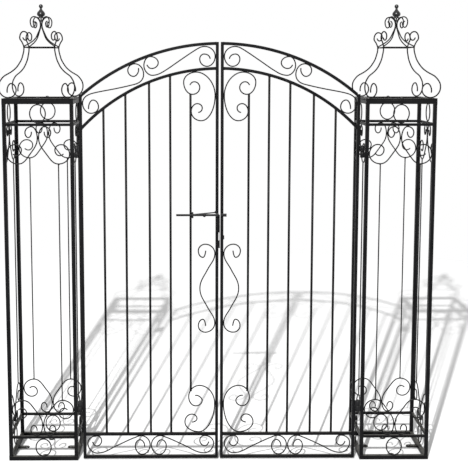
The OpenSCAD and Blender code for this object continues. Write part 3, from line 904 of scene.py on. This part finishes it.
@dataclass
class Leaf:
    """One arched leaf. It is made as the left leaf and mirrored for the right one.

    Attributes:
        side: Left or right.
        tube_t: Side of the square tube.
        tube_corner: Its outer corner radius.
        wire_r: Radius of the bent wire.
        bar_r: Radius of the upright bars.
        long_bars: Distances of the long bars from the middle of the gateway.
        short_bar: Distance of the short bar.
        outer_arch: Centre-line radius of the outer arch and the height of its centre.
        inner_arch: The same for the inner arch.
        sink: How far welded wire sinks into what it is welded to.
    """

    side: Side
    tube_t: float = 8.5
    tube_corner: float = 1.1
    wire_r: float = 1.75
    bar_r: float = 3.25
    long_bars: tuple = (139.0, 198.0, 264.5, 326.5)
    short_bar: float = 82.0
    outer_arch: tuple = (594.7, 608.7)
    inner_arch: tuple = (534.7, 599.5)
    sink: float = 0.15
    welds: list = field(default_factory=list)

    def __post_init__(self) -> None:
        """Reads the leaf's stiles and rails from the frame."""
        self.body = f"{self.side.word}_leaf"
        outer, meeting, rails = self._box("outer_stile"), self._box("meeting_stile"), self._box("rails")
        self.outer_x = max(abs(outer[0][0]), abs(outer[1][0])) - self.tube_t / 2
        self.meeting_x = min(abs(meeting[0][0]), abs(meeting[1][0])) + self.tube_t / 2
        self.outer_face = self.outer_x - self.tube_t / 2
        self.meeting_face = self.meeting_x + self.tube_t / 2
        self.y = (outer[0][1] + outer[1][1]) / 2
        self.stile_top = {"outer": outer[1][2], "meeting": meeting[1][2]}
        self.low_z, self.band_top = rails[0][2], rails[1][2]
        self.section, self.curved = rounded_bar(self.tube_t, self.tube_t, self.tube_corner)

    def _box(self, part: str) -> tuple[np.ndarray, np.ndarray]:
        """Lowest and highest corner of one of this leaf's nodes, in millimetres."""
        low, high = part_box(f"{self.side.word}_leaf_{part}")
        return np.array(low) / MM, np.array(high) / MM

    def _piece(self, name: str) -> Piece:
        """A piece with this leaf's name on it."""
        return Piece(f"{self.side.word}_gate_{name}")

    def _done(self, piece: Piece, coat: PowderCoat, slot: str, *parts: str) -> None:
        """Mirrors the piece if it is the right leaf's, and finishes it."""
        hand = np.array([-self.side.value, 1.0, 1.0])
        piece.points = [p * hand for p in piece.points]
        piece.finish(self.body, coat, slot, [f"{self.side.word}_leaf_{part}" for part in parts])

    def build(self) -> None:
        """Makes every piece of the leaf."""
        self.stiles()
        self.arches()
        self.rails()
        self.bars()
        self.scrolls()
        self.weld_beads()

    def stiles(self) -> None:
        """Outer and meeting stiles, each closed at the top with a small pressed cap."""
        for name, x, top in (
            ("outer_stile", self.outer_x, self.stile_top["outer"]),
            ("meeting_stile", self.meeting_x, self.stile_top["meeting"]),
        ):
            height = np.array([self.low_z, self.low_z + 0.6, top - 1.0, top - 0.3, top])
            path = np.stack([np.full(5, -x), np.full(5, self.y), height], axis=1)
            width = np.array([0.93, 1.0, 1.0, 0.96, 0.86])
            piece = self._piece(name)
            piece.add(carried(path, self.section, AXES["y"], width), self.curved)
            self._done(piece, TUBE_COAT, "leaf_coat", name)

    def arches(self) -> None:
        """Outer and inner arch: square tube bent to a circle between the stiles."""
        for name, (radius, centre) in (("outer_arch", self.outer_arch), ("inner_arch", self.inner_arch)):
            # The section's corners end on the stiles' faces, so each row runs to its own angle
            fraction = np.linspace(0.0, 1.0, 64)[:, None]
            reach = radius + self.section[None, :, 0]
            start = np.arcsin(-self.outer_face / reach)
            end = np.arcsin(-self.meeting_face / reach)
            angle = start + (end - start) * fraction
            grid = np.stack(
                [
                    reach * np.sin(angle),
                    np.broadcast_to(self.y + self.section[None, :, 1], angle.shape),
                    centre + reach * np.cos(angle),
                ],
                axis=-1,
            )
            piece = self._piece(name)
            piece.add(grid, self.curved)
            self._done(piece, TUBE_COAT, "leaf_coat", name)
            for edge in (0, -1):
                loop = np.vstack([grid[edge], grid[edge, :1]])
                coarse_at = np.linspace(0, 1, len(loop))
                fine_at = np.linspace(0, 1, 60)
                fine = np.stack([np.interp(fine_at, coarse_at, loop[:, k]) for k in range(3)], axis=1)
                self.welds.append(weld_seam(fine, 0.8))

    def rails(self) -> None:
        """The two rails that hold the bottom band of scrolls."""
        piece = self._piece("rails")
        for z in (self.low_z + self.tube_t / 2, self.band_top - self.tube_t / 2):
            ends = np.array([[-self.outer_face, self.y, z], [-self.meeting_face, self.y, z]])
            piece.add(carried(ends, self.section, AXES["z"]), self.curved)
            for x in (-self.outer_face, -self.meeting_face):
                loop = square_seam(np.array([x, self.y, z]), self.tube_t / 2 - 0.2, "x")
                self.welds.append(weld_seam(np.vstack([loop, loop[:1]]), 0.8))
        self._done(piece, TUBE_COAT, "leaf_coat", "rails")

    def bars(self) -> None:
        """Four long bars up to the inner arch, and the short bar between the scrolls."""
        radius, centre = self.inner_arch
        under = radius - self.tube_t / 2
        piece = self._piece("bars")
        for x in self.long_bars:
            top = centre + math.sqrt(under**2 - x**2) + 0.6
            ends = np.array([[-x, self.y, self.band_top - 0.1], [-x, self.y, top]])
            piece.add(carried(ends, circle(self.bar_r, 16), AXES["y"]))
            for z in (self.band_top, top - 0.6):
                angle = np.linspace(0, 2 * np.pi, 40)
                ring = np.stack([self.bar_r * np.cos(angle), self.bar_r * np.sin(angle), 0 * angle], axis=1)
                if z > self.band_top:
                    ring[:, 2] = centre + np.sqrt(under**2 - (ring[:, 0] - x) ** 2) - z
                self.welds.append(weld_seam(ring + np.array([-x, self.y, z]), 0.9))
        low, high = 205.5, 1061.0
        short = np.array([[-self.short_bar, self.y, low], [-self.short_bar, self.y, high]])
        path, width = domed_ends(short, 1.0)
        piece.add(carried(path, circle(self.bar_r, 16), AXES["y"], np.maximum(width, 0.75)))
        self._done(piece, ROD_COAT, "bar_coat", "bars")

    def _scroll_keys(self) -> dict[str, list]:
        """Key points [x, z, heading] of every scroll, by the node that it belongs to."""
        sink = self.wire_r - self.sink
        touch = -self.meeting_face - sink
        middle = (self.outer_face + self.meeting_face) / 2
        band_low = self.low_z + self.tube_t + sink
        band_high = self.band_top - self.tube_t - sink
        arch_low = [
            [-368, 1022, 90], [-355, 1046, 0], [-340, 1027, 270], [-361, 1009, 180],
            [-384.5, 1037, 90], [-356, 1065, 14], [-296, 1077, 11], [-238, 1090, 14],
            [-213, 1118, 90], [-237, 1147, 180], [-257, 1129, 270], [-241, 1112, 0],
            [-227, 1134, 100],
        ]  # fmt: skip
        arch_high = [
            [-203, 1143, 300], [-190, 1134, 0], [-172, 1150, 90], [-194, 1167, 180],
            [-212, 1142, 270], [-187, 1115, 5], [-160, 1124, 30], [-112, 1156, 34],
            [-65, 1187, 31], [-42, 1195, 0], [touch, 1168, 270], [-36, 1140, 180],
            [-56, 1160, 90], [-44, 1174, 0], [-27, 1162, 285],
        ]  # fmt: skip
        top = [
            [-83, 1089, 60], [-71, 1097, 0], [-56, 1081, 270], [-76, 1062, 180],
            [-101, 1096, 90], [-68, 1124, 4], [touch, 1059, 270], [-52, 988, 180],
            [-80, 1014, 90], [-63, 1036, 0], [-49, 1024, 270], [-59, 1011.5, 190],
        ]  # fmt: skip
        centre = [
            [-39, 616, 262], [-47, 598, 180], [-60, 617, 90], [-40, 636, 0],
            [touch, 609, 270], [-34, 562, 243], [-55.5, 507.5, 270], [-34, 453, 297],
            [touch, 406, 270], [-40, 379, 180], [-60, 398, 90], [-47, 417, 0],
            [-39, 399, 278],
        ]  # fmt: skip
        bottom = [
            [-68, 191, 20], [-49, 176, 270], [-68, 160, 180], [-88, 187, 90], [-57, 221, 0],
            [touch, 168, 270], [-59, self.band_top + sink, 180], [-99, 112, 90],
            [-79, 135, 0], [-64, 122, 270], [-77, 111, 190],
        ]  # fmt: skip
        band = [
            [-368, 51, 290], [-356, 40, 0], [-342, 56, 90], [-356, band_high, 180],
            [-382, 48, 270], [-354, band_low + 4, 2], [-295, 42, 25], [-245, 65, 21],
            [-227, band_high, 0], [-middle - 2, 43, 270], [-224, band_low, 180],
            [-244, 40, 90], [-230, 58, 0], [-217, 38, 262],
        ]  # fmt: skip
        band_pair = [-2 * middle - x for x, _, _ in band]
        mirrored = [[x, z, (180 - h) % 360] for x, (_, z, h) in zip(band_pair, band)]
        return {
            "arch_scrolls": [arch_low, arch_high],
            "stile_scrolls": [top, centre, bottom],
            "band_scrolls": [band, mirrored],
        }

    def scrolls(self) -> None:
        """Every scroll of the leaf, and a spot of weld where each one touches tube."""
        for node, group in self._scroll_keys().items():
            piece = self._piece(node)
            for keys in group:
                path, width = domed_ends(upright(scroll_path(keys), self.y), self.wire_r)
                piece.add(carried(path, circle(self.wire_r), AXES["y"], width))
                for x, z, heading in keys:
                    self._touch_weld(x, z, heading)
            self._done(piece, WIRE_COAT, "scroll_coat", node)

    def _touch_weld(self, x: float, z: float, heading: float) -> None:
        """Adds a weld spot where a key point lies against a stile or a rail."""
        reach = self.wire_r + 1.0
        if heading in (90, 270):
            for face, way in ((-self.meeting_face, 1.0), (-self.outer_face, -1.0)):
                if abs(x - face) < reach:
                    seat = np.array([face - 0.2 * way, self.y, z])
                    self.welds.append(weld_spot(seat, 2.2, (0.5, 0.9, 2.0)))
        if heading in (0, 180):
            for face in (self.low_z + self.tube_t, self.band_top - self.tube_t, self.band_top):
                if abs(z - face) < reach:
                    self.welds.append(weld_spot(np.array([x, self.y, face]), 2.2, (2.0, 0.9, 0.5)))

    def weld_beads(self) -> None:
        """All of the leaf's welds as one piece."""
        for x, z in ((-self.short_bar, 206.0), (-self.short_bar, 1061.5)):
            self.welds.append(weld_spot(np.array([x, self.y, z]), 3.0, (1.2, 1.0, 0.9)))
        piece = self._piece("weld_beads")
        for grid in self.welds:
            piece.add(grid)
        self._done(piece, WELD_COAT, "leaf_coat")


# ---- hinges, screws and latch ---------------------------------------------------------


@dataclass
class Hardware:
    """Hinges, cap screws and the latch. Sizes are in millimetres.

    Attributes:
        barrel_r: Radius of a hinge barrel.
        pin_r: Radius of a hinge pin.
        lug_w: Width of the lug that joins a knuckle to its tube.
        bolt_r: Radius of the sliding bolt.
        knuckle_gap: Gap between the two knuckles of a hinge.
        knob_x: Where the bolt's knob stands.
        brace_rise: How far the brace behind the bolt rises on its way to the stile.
        brace_r: Radius of that brace.
        strap_half_h: Half the height of the strap that guides the bolt on the stile.
        slot_z: Lower and upper end of the meeting strip's slot.
        strip_web: Width of the strip beside that slot.
        lug_hole_r: Radius of the hole in the padlock lug.
    """

    barrel_r: float = 6.0
    pin_r: float = 3.0
    lug_w: float = 8.0
    bolt_r: float = 3.0
    knuckle_gap: float = 0.4
    knob_x: float = -43.0
    brace_rise: float = 6.5
    brace_r: float = 1.75
    strap_half_h: float = 5.5
    slot_z: tuple = (647.0, 670.0)
    strip_web: float = 1.2
    lug_hole_r: float = 2.4

    def build(self) -> None:
        """Makes all of the hardware."""
        self.hinges()
        self.screws()
        self.bolt()
        self.guides()
        self.keeper()
        self.strip()
        self.lug()

    @staticmethod
    def _box(node: str) -> tuple[np.ndarray, np.ndarray]:
        """Lowest and highest corner of a node, in millimetres."""
        low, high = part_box(node)
        return np.array(low) / MM, np.array(high) / MM

    def _knuckle(self, piece: Piece, axis: np.ndarray, low: float, high: float, reach: float) -> None:
        """Adds a hollow barrel with broken edges, and the lug that runs out along X."""
        bore, edge = self.pin_r + 0.06, 0.6
        profile = np.array(
            [
                [bore, low + edge], [bore + edge, low], [self.barrel_r - edge, low],
                [self.barrel_r, low + edge], [self.barrel_r, high - edge],
                [self.barrel_r - edge, high], [bore + edge, high], [bore, high - edge],
            ]
        )  # fmt: skip
        piece.add(lathe(profile, 28) + axis, loop=True)
        section, curved = rounded_bar(self.lug_w, high - low - 0.6, 1.2)
        inner = math.copysign(self.pin_r + 1.2, reach)
        middle = (low + high) / 2
        ends = np.array([[inner, 0, middle], [reach, 0, middle]]) + axis
        piece.add(carried(ends, section, AXES["z"]), curved)

    def hinges(self) -> None:
        """Knuckles on posts and leaves, and the pins that stand in the lower knuckles."""
        pins = Piece("hinge_pins_turned")
        for side in Side:
            low, high = self._box(f"{side.word}_post_knuckles")
            upper_low, upper_high = self._box(f"{side.word}_leaf_knuckles")
            axis_x = side.value * (max(abs(upper_low[0]), abs(upper_high[0])) - self.barrel_r)
            axis = np.array([axis_x, (low[1] + high[1]) / 2, 0.0])
            reach = max(abs(low[0]), abs(high[0])) - abs(axis_x)
            tall = upper_high[2] - high[2] - self.knuckle_gap
            post, leaf = Piece(f"{side.word}_hinge_post_knuckles"), Piece(f"{side.word}_hinge_leaf_knuckles")
            for z in (low[2] + tall, high[2]):
                self._knuckle(post, axis, z - tall, z, side.value * reach)
                base = z + self.knuckle_gap
                self._knuckle(leaf, axis, base, base + tall, -side.value * reach)
                pins.add(self._pin(z - tall, z + tall + 2 * self.knuckle_gap) + axis)
            post.finish("pillars", RUBBED_COAT, "hinge_metal", [f"{side.word}_post_knuckles"])
            leaf.finish(f"{side.word}_leaf", RUBBED_COAT, "hinge_metal", [f"{side.word}_leaf_knuckles"])
        pins.finish("pillars", RUBBED_COAT, "hinge_metal", ["hinge_pins"])

    def _pin(self, low: float, top: float) -> np.ndarray:
        """A hinge pin: a turned stem with a domed head that stands on the upper knuckle."""
        stem = [[0.05, low + 0.2], [self.pin_r - 0.5, low + 0.2], [self.pin_r, low + 0.8], [self.pin_r, top]]
        head = [[4.6, 0], [4.9, 0.4], [4.6, 1.1], [3.2, 1.75], [1.4, 1.98], [0.05, 2.0]]
        return lathe(np.array(stem + [[radius, top + up] for radius, up in head]), 24)

    def screws(self) -> None:
        """Button-head screws with a hexagon socket, four on each cap.

        In the socket the radius follows a hexagon: apothem / cos(angle from the flat).
        """
        sides = 36
        angle = 2 * np.pi * np.arange(sides) / sides
        hexagon = 1.0 / np.cos((angle + np.pi / 6) % (np.pi / 3) - np.pi / 6)
        dome = np.radians(np.linspace(8, 60, 6))
        rim = [[4.5, 0.0], [4.5, 0.35]]
        top = np.stack([4.45 * np.cos(dome), 0.25 + 2.15 * np.sin(dome) / math.sin(math.radians(60))], axis=1)
        socket = np.array([[1.35, 2.4], [1.3, 2.2], [1.3, 1.0], [0.05, 0.9]])
        profile = np.vstack([[[1.9, -9.8], [1.9, 0.0]], rim, top, socket])
        grid = lathe(profile, sides)
        grid[-4:-1, :, :2] *= hexagon[:, None]
        piece = Piece("cap_button_screws")
        low, high = self._box("cap_screws")
        seat = high[2] - 2.4
        for side in Side:
            base_low, base_high = self._box(f"{side.word}_base_frame")
            centre = np.array([(base_low[0] + base_high[0]) / 2, 0.0, seat])
            offset = np.array([0.0, -(base_high[1] - 6.0), 0.0])
            for quarter in range(4):
                piece.add(turned_about_z(grid + offset, 90 * quarter) + centre)
        piece.finish("pillars", ZINC_COAT, "screw_metal", ["cap_screws"])

    def bolt(self) -> None:
        """Sliding bolt: round bar with broken ends, and a turned knob on a short neck."""
        centre, low, high = self._bolt_line()
        r, length = self.bolt_r, high - low
        bar = np.array(
            [[0.05, 0], [r - 0.9, 0], [r, 0.9], [r, length - 1.2], [r - 1.2, length], [0.05, length]]
        )
        piece = Piece("sliding_bolt")
        piece.add(along(lathe(bar, 24), "x") + np.array([low, *centre]))
        angle = np.radians(np.linspace(-62, 88, 11))
        ball = np.stack([5.0 * np.cos(angle), 4.6 + 4.8 * np.sin(angle)], axis=1)
        knob = np.vstack([[[2.2, -1.0], [2.2, 0.2]], ball])
        piece.add(along(lathe(knob, 24), "-y") + np.array([self.knob_x, *centre]))
        piece.finish("bolt", RUBBED_COAT, "latch_metal", ["bolt"])

    def _bolt_line(self) -> tuple[np.ndarray, float, float]:
        """The bolt's axis as (y, z), and the X of its two ends."""
        low, high = self._box("bolt")
        strap_low, strap_high = self._box("bolt_keeper")
        return np.array([high[1] - self.bolt_r, (strap_low[2] + strap_high[2]) / 2]), low[0], high[0]

    def _strap(self, piece: Piece, x0: float, x1: float, back: float, front: float, z: float) -> None:
        """Adds a strip of steel bent over the bolt: two feet, two walls and a round front."""
        thick = 1.5
        half_h = self.strap_half_h
        bend_r = half_h - thick / 2
        angle = np.radians(np.linspace(-90, 90, 15))
        nose = front + thick / 2 + bend_r
        arc = np.stack([np.zeros(15), nose - bend_r * np.cos(angle), z + bend_r * np.sin(angle)], axis=1)
        path = np.vstack([[[0, back, z - bend_r]], arc, [[0, back, z + bend_r]]])
        path[:, 0] = (x0 + x1) / 2
        section, curved = rounded_bar(thick, x1 - x0, 0.4, 2)
        piece.add(carried(path, section, AXES["x"]), np.ones_like(curved))
        for way in (-1.0, 1.0):
            foot = np.array([(x0 + x1) / 2, back - 0.3, z + way * (half_h - 0.4)])
            piece.add(weld_spot(foot, 1.5, (2.4, 0.8, 0.8)))

    def guides(self) -> None:
        """Ring beside the short bar, its brace, and a strap on the meeting stile."""
        low, high = self._box("bolt_guides")
        centre, _, _ = self._bolt_line()
        stile_low, stile_high = self._box("left_leaf_meeting_stile")
        piece = Piece("bolt_ring_and_strap")
        bore, rim, thick = self.bolt_r + 0.3, (high[2] - low[2]) / 2, 5.0
        ring = np.array(
            [
                [bore + 0.6, 0.0], [rim - 2.2, 0.0], [rim - 0.7, 0.6], [rim, 1.8], [rim, thick - 1.8],
                [rim - 0.7, thick - 0.6], [rim - 2.2, thick], [bore + 0.6, thick], [bore, thick - 0.6],
                [bore, 0.6],
            ]
        )  # fmt: skip
        piece.add(along(lathe(ring, 32), "x") + np.array([low[0], *centre]), loop=True)
        piece.add(weld_spot(np.array([low[0] + 0.3, centre[0] + 7.6, centre[1]]), 2.4, (0.8, 1.0, 2.2)))
        leaf_y = (stile_low[1] + stile_high[1]) / 2
        start = np.array([low[0] + 0.5, leaf_y, centre[1]])
        end = np.array([stile_low[0] + 0.1, leaf_y, centre[1] + self.brace_rise])
        piece.add(carried(np.array([start, end]), circle(self.brace_r), AXES["y"]))
        piece.add(weld_spot(end + np.array([-0.5, 0.0, 0.8]), 2.3, (1.0, 0.9, 1.5)))
        self._strap(piece, stile_low[0], stile_high[0], stile_low[1] + 0.3, centre[0] - 5.0, centre[1])
        piece.finish("left_leaf", RUBBED_COAT, "latch_metal", ["bolt_guides"])

    def keeper(self) -> None:
        """Sleeve on the right meeting stile that takes the bolt, flared at its mouth."""
        low, high = self._box("bolt_keeper")
        centre, _, _ = self._bolt_line()
        length = high[0] - low[0]
        bore, wall = self.bolt_r + 0.3, 1.2
        profile = np.array(
            [
                [bore + 0.6, 0.0], [bore + wall + 0.1, 0.2], [bore + wall + 0.2, 1.4],
                [bore + wall - 0.1, 2.2], [bore + wall - 0.1, length - 2.4],
                [bore + wall + 0.2, length - 1.6], [bore + wall + 0.2, length - 0.4],
                [bore + wall - 0.2, length], [bore + 0.2, length], [bore, length - 0.4], [bore, 1.2],
            ]
        )  # fmt: skip
        piece = Piece("bolt_keeper_sleeve")
        piece.add(along(lathe(profile, 28), "x") + np.array([low[0], *centre]), loop=True)
        for way in (-1.0, 1.0):
            run = np.linspace(low[0] + 0.8, low[0] + 8.0, 26)
            seam = np.stack([run, np.full(26, high[1] - 0.4), np.full(26, centre[1] + way * 3.0)], axis=1)
            piece.add(weld_seam(seam, 1.0))
        piece.finish("right_leaf", RUBBED_COAT, "latch_metal", ["bolt_keeper"])

    def strip(self) -> None:
        """Flat strip along the left meeting stile, with a slot for a padlock's shackle."""
        low, high = self._box("meeting_strip")
        y = (low[1] + high[1]) / 2
        piece = Piece("meeting_strip_bar")
        full, curved = rounded_bar(high[0] - low[0], high[1] - low[1], 0.6, 3)
        thin, thin_curved = rounded_bar(self.strip_web, high[1] - low[1], 0.3, 2)
        x = (low[0] + high[0]) / 2
        for z0, z1 in ((low[2], self.slot_z[0]), (self.slot_z[1], high[2])):
            path, width = domed_ends(np.array([[x, y, z0 + 0.5], [x, y, z1 - 0.5]]), 0.5, 3)
            piece.add(carried(path, full, AXES["y"], np.maximum(width, 0.7)), curved)
        web_x = high[0] - self.strip_web / 2
        ends = np.array([[web_x, y, self.slot_z[0] - 1], [web_x, y, self.slot_z[1] + 1]])
        piece.add(carried(ends, thin, AXES["y"]), thin_curved)
        for z in (low[2] + 6, self.slot_z[0] - 6, self.slot_z[1] + 6, high[2] - 12):
            piece.add(weld_spot(np.array([low[0] + 0.2, low[1] + 0.2, z]), 1.3, (1.0, 0.8, 2.6)))
        piece.finish("left_leaf", RUBBED_COAT, "latch_metal", ["meeting_strip"])

    def lug(self) -> None:
        """Padlock lug on the side of the right meeting stile: a round plate with a hole.

        Rays from the hole's middle meet the hole and then the outline, whose side
        towards the stile is straight.
        """
        low, high = self._box("padlock_lug")
        radius, hole_r, edge = (high[2] - low[2]) / 2, self.lug_hole_r, 0.4
        centre = np.array([0.0, low[1] + radius, (low[2] + high[2]) / 2])
        angle = np.radians(np.arange(0, 360, 5.0))
        away = np.stack([np.cos(angle), np.sin(angle)], axis=1)
        reach = np.full(len(angle), radius)
        inward = away[:, 0] > 0
        to_side = radius / np.maximum(np.abs(away[:, 1]), 1e-6)
        to_foot = (high[1] - centre[1]) / np.maximum(away[:, 0], 1e-6)
        reach[inward] = np.minimum(to_side, to_foot)[inward]
        hole = np.full(len(angle), hole_r)
        rows = [
            (hole, low[0] + edge), (hole, high[0] - edge), (hole + edge, high[0]), (reach - edge, high[0]),
            (reach, high[0] - edge), (reach, low[0] + edge), (reach - edge, low[0]), (hole + edge, low[0]),
        ]  # fmt: skip
        grid = np.stack(
            [np.stack([np.full(len(angle), x), r * away[:, 0], r * away[:, 1]], axis=1) for r, x in rows],
            axis=1,
        )
        piece = Piece("padlock_lug_plate")
        piece.add(grid + centre, np.zeros(len(rows), dtype=bool), loop=True)
        for way in (-1.0, 1.0):
            seat = np.array([high[0] - 0.4, high[1] - 1.4, centre[2] + way * (radius - 0.2)])
            piece.add(weld_spot(seat, 1.1, (1.0, 1.6, 0.8)))
        piece.finish("right_leaf", RUBBED_COAT, "latch_metal", ["padlock_lug"])


# ---- studio ---------------------------------------------------------------------------


@dataclass
class Studio:
    """Pale floor, soft light and the camera.

    Attributes:
        eye: Place of the camera, in millimetres.
        pitch: How far it looks down, in degrees.
        yaw: How far it is turned to the left, in degrees.
        lens: Its focal length, in millimetres on a sensor 36 mm wide.
        shift: Its shift across and up, in frame widths.
        key_place: Place of the key lamp, in millimetres.
        key_power: Its power.
        key_radius: Its radius, which sets how soft the shadows are.
        floor_r: Radius of the floor, in metres.
    """

    eye: tuple = (-80.0, -2830.0, 1130.0)
    pitch: float = 6.41
    yaw: float = -0.49
    lens: float = 74.3
    shift: tuple = (0.073, -0.12)
    key_place: tuple = (-972.0, -4500.0, 3673.0)
    key_power: float = 92.0
    key_radius: float = 40.0
    floor_r: float = 3.2

    def build(self) -> None:
        """Makes the floor, the lights, the world and the camera."""
        bpy.context.scene.view_settings.view_transform = "Standard"
        self.floor()
        self.lights()
        self.camera()

    def floor(self) -> None:
        """Pale round floor with a very faint mottle."""
        angle = np.linspace(0, 2 * np.pi, 96, endpoint=False)
        rim = np.stack([self.floor_r * np.cos(angle), self.floor_r * np.sin(angle), 0 * angle], axis=1)
        mesh = bpy.data.meshes.new("floor")
        mesh.from_pydata(rim.tolist(), [], [list(range(96))])
        floor = bpy.data.objects.new("floor", mesh)
        bpy.context.scene.collection.objects.link(floor)
        paper = bpy.data.materials.new("matt_white_paper")
        paper.use_nodes = True
        tree = paper.node_tree
        tree.nodes.clear()
        place = add_node(tree, "ShaderNodeTexCoord").outputs["Object"]
        mottle = add_node(tree, "ShaderNodeTexNoise", Vector=place, Scale=1.5, Detail=3.0)
        tone = add_node(
            tree,
            "ShaderNodeMix",
            {"data_type": "RGBA"},
            i0=mottle.outputs["Fac"],
            i6=linear("#b8b8b8"),
            i7=linear("#bcbcbc"),
        )
        shader = add_node(tree, "ShaderNodeBsdfPrincipled", Base_Color=tone.outputs[2], Roughness=0.9)
        add_node(tree, "ShaderNodeOutputMaterial", Surface=shader.outputs["BSDF"])
        mesh.materials.append(paper)

    def lights(self) -> None:
        """A soft key lamp, high at the front left, and an even white world."""
        world = bpy.data.worlds.new("studio")
        bpy.context.scene.world = world
        world.use_nodes = True
        world.node_tree.nodes["Background"].inputs["Color"].default_value = (1.0, 1.0, 1.0, 1.0)
        world.node_tree.nodes["Background"].inputs["Strength"].default_value = 1.0
        key = bpy.data.lights.new("key", "POINT")
        key.energy = self.key_power
        key.shadow_soft_size = self.key_radius * MM
        # The key lights the whole floor evenly, so its strength doesn't fall off with distance
        key.use_nodes = True
        tree = key.node_tree
        even = add_node(tree, "ShaderNodeLightFalloff", Strength=1.0).outputs["Constant"]
        tree.links.new(even, tree.nodes["Emission"].inputs["Strength"])
        lamp = bpy.data.objects.new("key", key)
        lamp.location = tuple(v * MM for v in self.key_place)
        bpy.context.scene.collection.objects.link(lamp)

    def camera(self) -> None:
        """The camera, in front of the gate and a little to the left."""
        data = bpy.data.cameras.new("camera")
        data.lens = self.lens
        data.sensor_width = 36.0
        data.shift_x, data.shift_y = self.shift
        data.clip_start, data.clip_end = 0.05, 200.0
        camera = bpy.data.objects.new("camera", data)
        camera.location = tuple(v * MM for v in self.eye)
        camera.rotation_euler = (math.radians(90 - self.pitch), 0.0, math.radians(self.yaw))
        bpy.context.scene.collection.objects.link(camera)
        bpy.context.scene.camera = camera


def main() -> None:
    """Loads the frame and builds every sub-assembly in order."""
    logging.basicConfig(level=logging.INFO, format="%(name)s %(message)s")
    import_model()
    for side in Side:
        Pillar(side).build()
    for side in Side:
        Leaf(side).build()
    Hardware().build()
    Studio().build()
    log.info("all pieces built")


if __name__ == "__main__":
    main()
